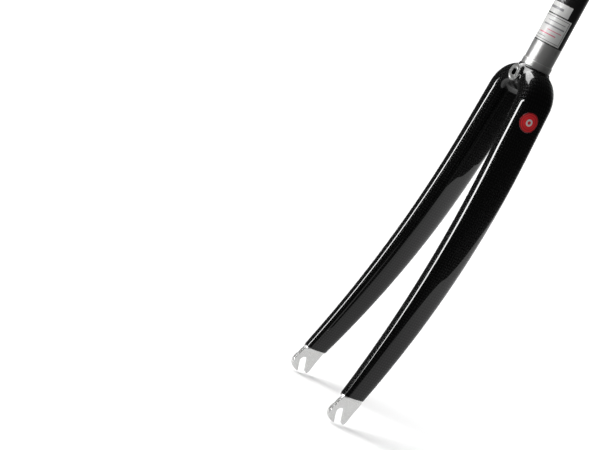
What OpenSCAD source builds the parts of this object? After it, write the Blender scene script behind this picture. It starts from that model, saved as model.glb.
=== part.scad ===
// Rigid road bicycle fork with a threadless steerer.
// A one piece carbon crown and pair of raked blades is swept as rings along an arch and two
// splayed legs. An aluminium base carries the crown race seat and the carbon steerer, and
// forged dropouts close the blade ends. Z runs up the steerer, X points forward and Y to the
// left. The origin is on the steerer axis at the foot of the crown race seat.

/* [Steerer] */
// Outer diameter of the steerer tube
steerer_d = 28.6; // [25.4:0.1:31.8]
// Inner diameter of the steerer tube
steerer_bore_d = 23.4; // [21:0.1:24.4]
// Height of the cut top above the foot of the race seat
steerer_h = 300; // [160:1:320]

/* [Aluminium base] */
// Diameter of the crown race seat
race_seat_d = 30; // [29.4:0.1:33.2]
// Height of the crown race seat
race_seat_h = 6.5; // [4:0.1:10]
// Height of the bare aluminium below the steerer tube
base_h = 25.4; // [15:0.1:40]
// Diameter of the foot that is bonded into the crown
base_foot_d = 24.2; // [23:0.1:26]
// Depth of that foot below the race seat
base_foot_h = 19; // [17:0.1:20]
// Inner diameter of the base
base_bore_d = 19.4; // [16:0.1:20]
// Length of the spigot that is bonded into the steerer tube
spigot_len = 32; // [15:1:60]
// Outer diameter of that spigot, for which the tube is counterbored
spigot_d = 24.6; // [24.4:0.1:25.6]

/* [Fork geometry] */
// Distance from the foot of the race seat down to the axle line
axle_drop = 372.5; // [355:0.5:400]
// Distance of the axle in front of the steerer axis
rake = 44.6; // [30:0.1:55]
// Gap between the inner faces of the dropouts
hub_space = 100; // [90:1:110]
// Angle between the steerer axis and the ground
head_angle = 73; // [68:0.5:76]

/* [Crown] */
// Radius of the arch that the middle of the moulding follows
arch_r = 26.4; // [24:0.1:32]
// Height of the crown at its middle, from its top to the arch
crown_h = 24; // [20:0.5:27]
// Depth of the crown at its middle, fore and aft
crown_depth = 31; // [29:0.5:35]
// Drop of the crown's middle below the foot of the race seat
crown_top_drop = 0.5; // [0.3:0.1:2]
// Width of the shelf that the race seat's foot stands on
seat_shelf = 0.7; // [0.5:0.1:3]
// How far the boss under the race seat swells beyond that shelf
boss_swell = 0.8; // [0:0.1:2]

/* [Blades] */
// Distance down from the race seat at which the blades start to curve forward
bend_start = 80; // [60:0.5:120]
// Distance of the axle in front of the line that the blades follow
axle_lead = 1; // [0:0.1:4]
// Depth of a blade at the shoulder, fore and aft
blade_depth_top = 36.2; // [30:0.1:42]
// Depth of a blade where the dropout starts
blade_depth_tip = 24.8; // [20:0.1:28]
// Width of a blade at the shoulder
blade_width_top = 24.4; // [20:0.1:30]
// Width of a blade where the dropout starts
blade_width_tip = 14.2; // [12:0.1:18]

/* [Brake mount] */
// Drop of the brake bolt's hole below the foot of the race seat
brake_drop = 11.2; // [10:0.1:13]
// Distance of the front flange's face from the steerer axis
brake_front_x = 19.4; // [18:0.1:22]
// Distance of the rear flange's face from the steerer axis
brake_rear_x = 18; // [17:0.1:21]
// Hole for the brake bolt in the front bush
brake_bolt_d = 6.1; // [5:0.1:6.5]
// Hole for the recessed nut in the rear bush
brake_nut_d = 8.1; // [7.5:0.1:8.5]
// Outer diameter of both bushes
bush_d = 10; // [9.5:0.1:12]
// Diameter of the front bush's flange
front_flange_d = 17; // [14:0.1:18]
// Diameter of the rear bush's flange
rear_flange_d = 13.5; // [12:0.1:16]
// Thickness of both flanges
flange_t = 1.2; // [0.8:0.1:2]
// Width of the carbon that shows round each flange
boss_margin = 0.9; // [0.5:0.1:2]

/* [Dropouts] */
// Thickness of the dropout plate
dropout_t = 5; // [4:0.1:7]
// Width of the axle slot
slot_w = 9; // [8.5:0.1:10]
// Distance from the axle line up to the end of the carbon
carbon_end_up = 17.3; // [14:0.1:24]
// Reach of the dropout's front lobe from the axle line
lobe_r = 12.3; // [11:0.1:15]
// Height of the full rim under the carbon
rim_h = 1.2; // [0.6:0.1:2]
// Height of the cove from that rim to the plate
cove_h = 4.6; // [3:0.1:7]
// Chamfer round the outer edges of the plate
plate_chamfer = 0.8; // [0.3:0.1:1.5]
// Length of the tang that is bonded into the blade
tang_len = 22; // [10:1:40]
// Wall of the blade round the tang
tang_wall = 2.4; // [1.5:0.1:3.5]

/* [Badge and labels] */
// Diameter of the round badge on the left blade
badge_d = 19.5; // [14:0.5:22]
// Drop of the badge's centre below the foot of the race seat
badge_drop = 46; // [40:1:70]
// Distance of the badge's centre in front of the steerer axis
badge_fwd = 3; // [0:0.5:5]
// Thickness of the badge
badge_t = 0.4; // [0.2:0.1:0.8]
// Thickness of each steerer label, a thin transfer
label_t = 0.02; // [0.01:0.01:0.1]
// Height of the lower label
lower_label_h = 26.5; // [15:0.5:40]
// Height of the upper label
upper_label_h = 11.2; // [6:0.1:20]
// Gap between the two labels, and from the aluminium to the lower one
label_gap = 1.2; // [0.5:0.1:4]
// Width of each label round the tube, in degrees
label_span = 150; // [90:5:200]
// Direction of the lower label's left edge, in degrees from straight ahead
lower_label_edge = 102; // [60:1:120]
// Direction of the upper label's left edge, in degrees from straight ahead
upper_label_edge = 78; // [60:1:120]

/* [Hidden] */

// Bond line between glued pieces, on the radius
bond = 0.1;
// Overrun of a cutting shape past the faces that it cuts
overrun = 1;
// Chamfer at the mouths of tubes and seats
chamfer = 0.6;
// Superellipse exponent of the blade and crown sections
section_share = 2.7;
// Sides of a section, rings over half the arch and rings down one blade
section_sides = 36;
arch_rings = 12;
blade_rings = 20;
// Rings in the dropout's cove
cove_rings = 6;
round_fn = 96;

// Share of the crown's height that lies above the arch line
crown_top_share = 0.275;

// The line that each blade follows in front view: a tangent from the arch to the axle
plate_y = (hub_space + dropout_t) / 2;
arch_z = -crown_top_drop - crown_h * crown_top_share - arch_r;
leg_run = norm([plate_y, axle_drop + arch_z]);
splay = atan2(plate_y, axle_drop + arch_z) - asin(arch_r / leg_run);
shoulder_y = arch_r * cos(splay);
shoulder_z = arch_z + arch_r * sin(splay);
tip_z = carbon_end_up - axle_drop;

// Signed power, used by the superellipse
function spow(v, p) = sign(v) * pow(abs(v), p);
// Smooth step from 0 to 1
function ease(u) = u * u * (3 - 2 * u);
function mix(a, b, u) = a + (b - a) * u;

// Share of the way from the start of the bend to the axle line, at height z
function bend_at(z) = max(0, (-z - bend_start) / (axle_drop - bend_start));
function tip_at(z) = max(0, (-z - bend_start) / (-tip_z - bend_start));
// Forward place, sideways place, half depth and half width of a blade at height z
function blade_x(z) = (rake - axle_lead) * pow(bend_at(z), 2);
function blade_y(z) = shoulder_y + (shoulder_z - z) * tan(splay);
function blade_a(z) = mix(blade_depth_top, blade_depth_tip, pow(tip_at(z), 2)) / 2;
function blade_b(z) =
    mix(blade_width_top, blade_width_tip, (shoulder_z - z) / (shoulder_z - tip_z)) / 2;

// One section: centre c, half depth a along X, half width b along the direction at angle tilt
function section(c, a, b, tilt, sides = section_sides) = [for (k = [0:sides - 1])
    let (w = 360 * k / sides,
        u = a * spow(cos(w), 2 / section_share),
        v = b * spow(sin(w), 2 / section_share))
    [c.x + u, c.y + v * cos(tilt), c.z + v * sin(tilt)]];

// Section of the arch, from its middle at share 0 to the shoulder at share 1
function arch_section(share) = let (
        w = mix(90, splay, share),
        up = mix(crown_h * crown_top_share, blade_width_top / 2, sin(90 * share)),
        down = mix(crown_h * (1 - crown_top_share), blade_width_top / 2, ease(share)),
        r = arch_r + (up - down) / 2,
        a = mix(crown_depth, blade_depth_top, sin(90 * share)) / 2)
    section([0, r * cos(w), arch_z + r * sin(w)], a, (up + down) / 2, w);

// Section of the left blade at height z, grown by a margin
function blade_section(z, grow = 0, sides = section_sides) =
    section([blade_x(z), blade_y(z), z], blade_a(z) + grow, blade_b(z) + grow, splay, sides);

function mirror_y(ring) = [for (p = ring) [p.x, -p.y, p.z]];
function blade_z(i) = mix(shoulder_z, tip_z, i / blade_rings);

// Skin over a list of rings with the same number of points
module loft(rings) {
    n = len(rings[0]);
    last = len(rings) - 1;
    polyhedron(
        points = [for (r = rings) each r],
        faces = concat(
            [[for (k = [n - 1:-1:0]) k]],
            [for (i = [0:last - 1], k = [0:n - 1]) let (j = (k + 1) % n)
                each [[i * n + j, (i + 1) * n + j, (i + 1) * n + k],
                      [i * n + j, (i + 1) * n + k, i * n + k]]],
            [[for (k = [0:n - 1]) last * n + k]]),
        convexity = 6);
}

// Children on the left side and their mirror image on the right side
module left_and_right() {
    children();
    mirror([0, 1, 0]) children();
}

// Crown and both blades as one skin, from the right tip over the arch to the left tip
module moulding_skin() {
    half = concat(
        [for (i = [1:arch_rings]) arch_section(i / arch_rings)],
        [for (i = [1:blade_rings]) blade_section(blade_z(i))]);
    count = len(half);
    loft(concat([for (i = [count - 1:-1:0]) mirror_y(half[i])], [arch_section(0)], half));
}

// Profile of the boss under the race seat, from its top down: share of the crown's height,
// then share of the swell beyond the shelf
boss_shares = [[-0.1, -0.4], [0, 0], [0.18, 0.6], [0.38, 1], [0.56, 0.6], [0.72, -1.2],
    [0.86, -4], [0.95, -7]];

// Boss under the race seat: it swells out of the crown and closes in the arch
module head_boss() {
    top_r = race_seat_d / 2 + seat_shelf;
    foot_z = -crown_top_drop - crown_h;
    rows = smooth([for (s = boss_shares) [top_r + s[1] * boss_swell, s[0] * foot_z]], 3);
    rotate_extrude($fn = round_fn)
        polygon(concat([[0, 0]], rows, [[0, rows[len(rows) - 1].y]]));
}

// Profile of a brake boss, from its seat inwards: share of its reach, then of its radius
flare_shares = [[1, 0.94], [0.985, 0.98], [0.96, 1], [0.85, 1.01], [0.75, 1.03], [0.65, 1.06],
    [0.5, 1.09]];

// Round boss that carries a brake bush's flange, flared into the crown
module brake_boss(face_x, flange_d) {
    r = flange_d / 2 + boss_margin;
    seat_x = face_x - flange_t;
    rotate([0, 90, 0]) rotate_extrude($fn = round_fn)
        polygon(concat([[0, seat_x]],
            [for (s = flare_shares) [r * s[1], seat_x * s[0]]],
            [[0, seat_x * flare_shares[len(flare_shares) - 1][0]]]));
}

// Pocket or tang inside the blade's end, which overruns the end of the carbon
module tang_skin(grow) {
    loft([for (i = [3:-1:0])
        let (z = mix(tip_z - overrun, tip_z + tang_len + grow, i / 3))
        blade_section(z, grow - tang_wall, 24)]);
}

module fork_body() {
    color([0.05, 0.05, 0.05]) difference() {
        union() {
            moulding_skin();
            head_boss();
            translate([0, 0, -brake_drop]) {
                brake_boss(brake_front_x, front_flange_d);
                rotate([0, 0, 180]) brake_boss(brake_rear_x, rear_flange_d);
            }
        }
        // Socket for the base, and the hole that opens its bore to the arch below
        translate([0, 0, -base_foot_h])
            cylinder(d = base_foot_d + 2 * bond, h = base_foot_h + overrun, $fn = round_fn);
        translate([0, 0, -crown_h - crown_top_drop - overrun])
            cylinder(d = base_bore_d, h = crown_h, $fn = round_fn);
        // Brake bolt's hole
        translate([-brake_rear_x, 0, -brake_drop]) rotate([0, 90, 0])
            cylinder(d = bush_d + 2 * bond, h = brake_rear_x + brake_front_x, $fn = round_fn);
        left_and_right() tang_skin(bond);
    }
}

// Foot, race seat, bare sleeve and spigot of the base in one turned piece
module crown_base() {
    foot_r = base_foot_d / 2;
    foot_z = -base_foot_h;
    seat_r = race_seat_d / 2;
    sleeve_r = steerer_d / 2;
    spigot_r = spigot_d / 2;
    bore_r = base_bore_d / 2;
    top_z = base_h + spigot_len;
    color("silver") difference() {
        rotate_extrude($fn = round_fn) polygon([
            [bore_r, foot_z], [foot_r - chamfer, foot_z], [foot_r, foot_z + chamfer],
            [foot_r, 0], [seat_r, 0], [seat_r, race_seat_h - chamfer / 2],
            [seat_r - chamfer / 2, race_seat_h], [sleeve_r, race_seat_h], [sleeve_r, base_h],
            [spigot_r, base_h], [spigot_r, top_z - chamfer], [spigot_r - chamfer, top_z],
            [bore_r, top_z]]);
        translate([-brake_rear_x, 0, -brake_drop]) rotate([0, 90, 0])
            cylinder(d = bush_d + 2 * bond, h = brake_rear_x + brake_front_x, $fn = round_fn);
    }
}

// Plain tube, counterbored at its foot for the bonded spigot
module steerer_tube() {
    r = steerer_d / 2;
    bore_r = steerer_bore_d / 2;
    socket_r = spigot_d / 2 + bond;
    socket_z = base_h + spigot_len + bond;
    color([0.08, 0.08, 0.08]) rotate_extrude($fn = round_fn) polygon([
        [socket_r, base_h], [r, base_h], [r, steerer_h - chamfer],
        [r - chamfer, steerer_h], [bore_r + chamfer, steerer_h],
        [bore_r, steerer_h - chamfer], [bore_r, socket_z], [socket_r, socket_z]]);
}

// Flanged bush whose sleeve ends at the bore of the base
module brake_bush(face_x, flange_d, hole_d) {
    inner_x = base_bore_d / 2;
    flange_r = flange_d / 2;
    rim = flange_t / 4;
    rotate([0, 90, 0]) rotate_extrude($fn = round_fn) polygon([
        [hole_d / 2, inner_x], [bush_d / 2, inner_x], [bush_d / 2, face_x - flange_t],
        [flange_r, face_x - flange_t], [flange_r, face_x - rim], [flange_r - rim, face_x],
        [hole_d / 2 + rim, face_x], [hole_d / 2, face_x - rim]]);
}

module front_brake_bush() {
    color("silver") translate([0, 0, -brake_drop])
        brake_bush(brake_front_x, front_flange_d, brake_bolt_d);
}

module rear_brake_bush() {
    color("silver") translate([0, 0, -brake_drop]) rotate([0, 0, 180])
        brake_bush(brake_rear_x, rear_flange_d, brake_nut_d);
}

// Point between b and c, at share t, of the smooth curve that passes through four points
function curve_point(a, b, c, d, t) =
    (2 * b + (c - a) * t + (2 * a - 5 * b + 4 * c - d) * t * t
        + (3 * b - 3 * c + d - a) * t * t * t) / 2;
// Smooth curve through all points but the first and last, which only set its ends' direction
function smooth(pts, steps) = let (n = len(pts) - 3)
    [for (i = [0:n - 1], s = [0:steps - 1])
        curve_point(pts[i], pts[i + 1], pts[i + 2], pts[i + 3], s / steps)];

// Front and rear edge of the plate below the blade, as shares of the lobe's reach from the
// axle: forward, then up
front_edge_shares = [[0.57, 0.88], [0.68, 0.55], [0.87, 0.15], [0.93, -0.2], [0.82, -0.56],
    [0.52, -0.86], [0.14, -1.03], [-0.1, -1.1]];
rear_edge_shares = [[-0.45, -1.08], [-0.66, -1.06], [-0.88, -0.92], [-1, -0.62],
    [-1.07, -0.2], [-1.18, 0.3], [-1.32, 0.8]];

// Outline of the plate in side view, with the axle at zero
module plate_outline() {
    root_z = carbon_end_up - rim_h;
    root_x = blade_x(tip_z) - rake;
    root_a = blade_depth_tip / 2 - rim_h;
    front = [for (s = front_edge_shares) s * lobe_r];
    rear = [for (s = rear_edge_shares) s * lobe_r];
    front_root = [root_x + root_a, root_z];
    rear_root = [root_x - root_a, root_z];
    polygon(concat(
        smooth(concat([front_root + [0, root_z]], [front_root], front, [rear[0]]), 3),
        smooth(concat([front[len(front) - 1]], rear, [rear_root], [rear_root + [0, root_z]]), 3),
        [rear_root]));
}

// Left dropout: rim and cove from the blade's section to the plate, the plate and the tang
module dropout() {
    cove_z = tip_z - rim_h;
    difference() {
        union() {
            loft(concat(
                [for (z = [tip_z, cove_z]) blade_section(z)],
                [for (i = [1:cove_rings])
                    let (u = i / cove_rings,
                        z = cove_z - cove_h * u,
                        fall = 1 - sqrt(1 - pow(1 - u, 2)))
                    section([blade_x(z), mix(plate_y, blade_y(z), fall), z],
                        blade_a(tip_z) - rim_h * u * 2,
                        mix(dropout_t / 2, blade_width_tip / 2, fall), splay * fall)]));
            translate([rake, plate_y, -axle_drop]) rotate([90, 0, 0]) {
                linear_extrude(dropout_t - 2 * plate_chamfer, center = true) plate_outline();
                linear_extrude(dropout_t, center = true)
                    offset(delta = -plate_chamfer) plate_outline();
            }
            tang_skin(0);
        }
        // Axle slot, open towards the ground
        translate([rake, plate_y, -axle_drop]) rotate([0, 90 - head_angle, 0]) {
            rotate([90, 0, 0])
                cylinder(d = slot_w, h = dropout_t + 2 * overrun, center = true,
                    $fn = round_fn);
            translate([-slot_w / 2, -dropout_t / 2 - overrun, -2 * lobe_r])
                cube([slot_w, dropout_t + 2 * overrun, 2 * lobe_r]);
        }
    }
}

module left_dropout() {
    color("lightgray") dropout();
}

module right_dropout() {
    color("lightgray") mirror([0, 1, 0]) dropout();
}

// Round badge that lies on the outer face of the left blade
module left_badge() {
    first = floor((shoulder_z + badge_drop - badge_d / 2) / (shoulder_z - tip_z) * blade_rings);
    last = ceil((shoulder_z + badge_drop + badge_d / 2) / (shoulder_z - tip_z) * blade_rings);
    rows = [for (i = [max(0, first):last]) blade_z(i)];
    color("crimson") difference() {
        intersection() {
            loft([for (z = rows) blade_section(z, badge_t)]);
            translate([badge_fwd, 0, -badge_drop]) rotate([-90, 0, 0])
                cylinder(d = badge_d, h = hub_space, $fn = round_fn);
        }
        loft([for (z = concat([rows[0] + overrun], rows, [rows[len(rows) - 1] - overrun]))
            blade_section(z)]);
        cube([2 * blade_depth_top, 2 * shoulder_y, 2 * axle_drop], center = true);
    }
}

// Bare label wrapped round the steerer, ending at the given direction
module label(z, h, edge) {
    color("white") translate([0, 0, z]) rotate([0, 0, edge - label_span])
        rotate_extrude(angle = label_span, $fn = round_fn)
            translate([steerer_d / 2, 0]) square([label_t, h]);
}

module lower_label() {
    label(base_h + label_gap, lower_label_h, lower_label_edge);
}

module upper_label() {
    label(base_h + 2 * label_gap + lower_label_h, upper_label_h, upper_label_edge);
}

fork_body();
crown_base();
steerer_tube();
front_brake_bush();
rear_brake_bush();
left_dropout();
right_dropout();
left_badge();
lower_label();
upper_label();
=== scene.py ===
"""Looks of a rigid road bicycle fork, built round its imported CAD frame.

Every new piece is a surface worked out with numpy in millimetres, in the CAD frame: the origin lies
on the steerer axis at the foot of the crown race seat, Z runs up the steerer, X points forward and
Y to the left. Meshes are handed to Blender in metres.
"""

import logging
import math
from dataclasses import dataclass
from enum import Enum

import bpy
import numpy as np
from mathutils import Matrix


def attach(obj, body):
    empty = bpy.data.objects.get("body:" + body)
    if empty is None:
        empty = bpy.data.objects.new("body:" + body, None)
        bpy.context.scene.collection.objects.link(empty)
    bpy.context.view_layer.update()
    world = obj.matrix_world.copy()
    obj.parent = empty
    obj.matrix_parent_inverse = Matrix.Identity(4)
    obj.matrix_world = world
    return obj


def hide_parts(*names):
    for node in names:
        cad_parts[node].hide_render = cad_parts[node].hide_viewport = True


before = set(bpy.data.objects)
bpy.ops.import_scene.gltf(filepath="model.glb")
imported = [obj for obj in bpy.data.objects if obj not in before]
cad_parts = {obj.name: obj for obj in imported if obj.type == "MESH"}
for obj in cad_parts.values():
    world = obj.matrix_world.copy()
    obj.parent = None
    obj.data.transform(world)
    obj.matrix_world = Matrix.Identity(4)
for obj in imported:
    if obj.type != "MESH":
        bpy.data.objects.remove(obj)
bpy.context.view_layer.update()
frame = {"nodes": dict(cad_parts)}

MM = 0.001
TAU = 2 * math.pi
MIRROR_Y = np.array([1.0, -1.0, 1.0])
UV_NAME = "surface"
ROUND_SIDES = 96
TURNED_STEPS = 7
Array = np.ndarray
Material = bpy.types.Material
Socket = bpy.types.NodeSocket
Piece = bpy.types.Object
log = logging.getLogger("fork")

# sizes that several pieces share, in millimetres
STEERER_R = 14.3
SLEEVE_TOP_Z = 25.4
BASE_FOOT_Z = -19.0
BASE_BORE_R = 9.7
BRAKE_Z = -11.2
BUSH_WAY_R = 5.1
BUSH_WAY_SPAN = (-20.0, 20.0)


class About(Enum):
    """Axis that a turned piece is turned about."""

    X = "x"
    Z = "z"


class Side(Enum):
    """Side of the fork that a piece belongs to, as the sign of its Y."""

    LEFT = 1
    RIGHT = -1


# ---------------------------------------------------------------- curves and surfaces in numpy


def smoothstep(t: Array) -> Array:
    """Cubic step 3t^2 - 2t^3 of t held between 0 and 1."""
    t = np.clip(t, 0.0, 1.0)
    return t * t * (3 - 2 * t)


def mix(low: Array, high: Array, share: Array) -> Array:
    """Straight mix of low and high by share."""
    return low + (high - low) * share


def soft_min(a: Array, b: Array, reach: float) -> Array:
    """Lower of a and b, less (reach - |a - b|)^2 / 4 reach where they are closer than reach."""
    near = np.maximum(reach - np.abs(a - b), 0.0)
    return np.minimum(a, b) - near * near / (4 * reach)


def soft_max(a: Array, b: Array, reach: float) -> Array:
    """Higher of a and b, rounded over where they are closer than reach."""
    return -soft_min(-a, -b, reach)


def smooth_curve(points: Array, steps: int) -> Array:
    """Carry a smooth curve through all points but the first and last.

    Between two points b and c with neighbours a and d, the curve is
    (2b + (c - a)t + (2a - 5b + 4c - d)t^2 + (3b - 3c + d - a)t^3) / 2 for t from 0 to 1.

    Args:
        points: points in order, one row each.
        steps: number of samples between two points.

    Returns:
        The samples, from the second point up to just before the last but one.
    """
    a, b, c, d = (points[k : len(points) - 3 + k, None] for k in range(4))
    t = (np.arange(steps) / steps)[None, :, None]
    rows = (2 * b + (c - a) * t + (2 * a - 5 * b + 4 * c - d) * t**2
            + (3 * b - 3 * c + d - a) * t**3) / 2
    return rows.reshape(-1, points.shape[1])


def rounded(points: list, radii: tuple, steps: int) -> Array:
    """Round the corners of a closed outline.

    Each corner p is cut back by its radius towards both neighbours, to the points q and r, and
    replaced by the curve (1 - t)^2 q + 2t(1 - t) p + t^2 r.

    Args:
        points: corners of the outline in order.
        radii: how far each corner is cut back.
        steps: number of samples in each rounded corner.

    Returns:
        The samples of all corners in order.
    """
    corner, reach = np.array(points), np.array(radii)[:, None]
    before, after = (np.roll(corner, way, axis=0) - corner for way in (1, -1))
    q = corner + before / np.linalg.norm(before, axis=1)[:, None] * reach
    r = corner + after / np.linalg.norm(after, axis=1)[:, None] * reach
    # samples crowd towards q and r, so that the flats beside a corner keep level normals
    t = smoothstep(np.linspace(0, 1, steps))[None, :, None]
    curve = (1 - t) ** 2 * q[:, None] + 2 * t * (1 - t) * corner[:, None] + t**2 * r[:, None]
    return curve.reshape(-1, corner.shape[1])


def angles(count: int) -> Array:
    """Even angles of a full turn, in one row."""
    return np.linspace(0, TAU, count, endpoint=False)[None]


def rings(radius: Array, height: Array, count: int) -> Array:
    """Level circles (r cos w, r sin w, h) about Z, a row for each radius r and height h."""
    w = angles(count)
    r, h = radius[:, None], height[:, None] + 0 * w
    return np.stack([r * np.cos(w), r * np.sin(w), h], axis=-1)


def laid(grid: Array, about: About) -> Array:
    """Points that were made about Z, put about the chosen axis: X takes their height."""
    return grid if about is About.Z else np.roll(grid, 1, axis=-1)


def turned(corners: list, radii: tuple, count: int, about: About) -> Array:
    """Turn a profile with rounded corners about an axis.

    Args:
        corners: corners of the closed profile, each a radius and a height.
        radii: how far each corner is cut back.
        count: number of angles.
        about: axis of the turning.

    Returns:
        A grid of points, with a row for each angle.
    """
    profile = rounded(corners, radii, TURNED_STEPS)
    return laid(np.swapaxes(rings(profile[:, 0], profile[:, 1], count), 0, 1), about)


# ---------------------------------------------------------------- meshes


def run_lengths(points: Array, axis: int) -> Array:
    """Distance covered so far along an axis of a grid of points, from 0 at its start."""
    step = np.linalg.norm(np.diff(points, axis=axis), axis=-1)
    start = np.zeros_like(np.take(step, [0], axis=axis))
    return np.concatenate([start, np.cumsum(step, axis=axis)], axis=axis)


def run_uv(grid: Array, spine: Array) -> Array:
    """UV of a grid in millimetres, with a closing column.

    Args:
        grid: points, rows by columns by three.
        spine: one point for each row.

    Returns:
        The run round each row as U, and the run along the spine as V.
    """
    u = run_lengths(np.concatenate([grid, grid[:, :1]], axis=1), 1)
    return np.stack([u, run_lengths(spine, 0)[:, None] + 0 * u], axis=-1)


def solid(name: str, grid: Array, ring: bool = False, uv: Array | None = None) -> Piece:
    """Make an object in metres from a grid of points in millimetres, with its faces outwards.

    Rows follow each other along the surface, and the points of a row go round it, so that the
    last point of a row joins the first.

    Args:
        name: name of the object and of its mesh.
        grid: points, rows by columns by three.
        ring: whether the last row joins the first; if not, flat faces close both ends.
        uv: UV with one more column than the grid, or the runs round and along the grid.

    Returns:
        The object, in the scene.
    """
    uv = run_uv(grid, grid[:, 0]) if uv is None else uv
    rows, cols = grid.shape[:2]
    i, j = np.arange(rows if ring else rows - 1)[:, None], np.arange(cols)[None]
    below, right = (i + 1) % rows, (j + 1) % cols
    quads = np.stack([i * cols + j, i * cols + right, below * cols + right, below * cols + j], -1)
    spots = np.stack([uv[i, j], uv[i, j + 1], uv[below, j + 1], uv[below, j]], axis=-2)
    corners, sizes, uvs = [quads.ravel()], [4] * quads[..., 0].size, [spots.reshape(-1, 2)]
    if not ring:
        corners += [np.arange(cols)[::-1], np.arange(cols) + (rows - 1) * cols]
        sizes += [cols, cols]
        uvs += [uv[0, :cols][::-1], uv[-1, :cols]]
    corners = np.concatenate(corners).astype(np.int32)
    starts = np.cumsum([0] + sizes[:-1]).astype(np.int32)
    mesh = bpy.data.meshes.new(name)
    mesh.vertices.add(rows * cols)
    mesh.vertices.foreach_set("co", (grid * MM).astype(np.float32).ravel())
    mesh.loops.add(len(corners))
    mesh.loops.foreach_set("vertex_index", corners)
    mesh.polygons.add(len(sizes))
    mesh.polygons.foreach_set("loop_start", starts)
    layer = mesh.uv_layers.new(name=UV_NAME)
    layer.data.foreach_set("uv", np.concatenate(uvs).astype(np.float32).ravel())
    mesh.update(calc_edges=True)
    mesh.validate()
    if signed_volume(mesh) < 0:
        mesh.flip_normals()
    piece = bpy.data.objects.new(name, mesh)
    bpy.context.scene.collection.objects.link(piece)
    return piece


def signed_volume(mesh: bpy.types.Mesh) -> float:
    """Sum over the triangles of a . (b x c) / 6, which is below 0 where the faces look inwards."""
    mesh.calc_loop_triangles()
    triangles = np.empty(len(mesh.loop_triangles) * 3, np.int32)
    mesh.loop_triangles.foreach_get("vertices", triangles)
    points = np.empty(len(mesh.vertices) * 3, np.float32)
    mesh.vertices.foreach_get("co", points)
    a, b, c = points.reshape(-1, 3)[triangles.reshape(-1, 3)].astype(float).transpose(1, 0, 2)
    return float((a * np.cross(b, c)).sum() / 6)


def pin(radius: float, span: tuple, about: About) -> Piece:
    """Round cutter over a span along Z, or along X through the middle of the brake holes."""
    grid = laid(rings(np.array([radius, radius]), np.array(span), ROUND_SIDES), about)
    return solid("pin", grid + np.array([0, 0, BRAKE_Z if about is About.X else 0.0]))


def join_solids(piece: Piece, others: list[Piece], how: str) -> Piece:
    """Unite other solids with a piece or cut them out of it, for good.

    Args:
        piece: object that is changed.
        others: objects that are used up.
        how: UNION or DIFFERENCE.

    Returns:
        The changed piece.
    """
    for other in others:
        step = piece.modifiers.new("joined", "BOOLEAN")
        step.operation, step.solver, step.object = how, "EXACT", other
        bpy.context.view_layer.update()
        shaped = piece.evaluated_get(bpy.context.evaluated_depsgraph_get())
        mesh = bpy.data.meshes.new_from_object(shaped)
        piece.modifiers.clear()
        piece.data = mesh
        mesh.name = piece.name
        bpy.data.objects.remove(other)
    return piece


def smooth_shaded(piece: Piece, crease: float) -> None:
    """Shade a piece smoothly, with sharp edges where faces meet at more than crease degrees."""
    mesh = piece.data
    mesh.polygons.foreach_set("use_smooth", np.ones(len(mesh.polygons), bool))
    mesh.set_sharp_from_angle(angle=math.radians(crease))


# ---------------------------------------------------------------- finishes


def rgba(colour: tuple, gain: float = 1.0) -> tuple:
    """Opaque colour, brightened by a gain as far as white."""
    return tuple(min(1.0, c * gain) for c in colour) + (1.0,)


def grey(value: float) -> tuple:
    """Opaque grey."""
    return rgba((value,) * 3)


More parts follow.
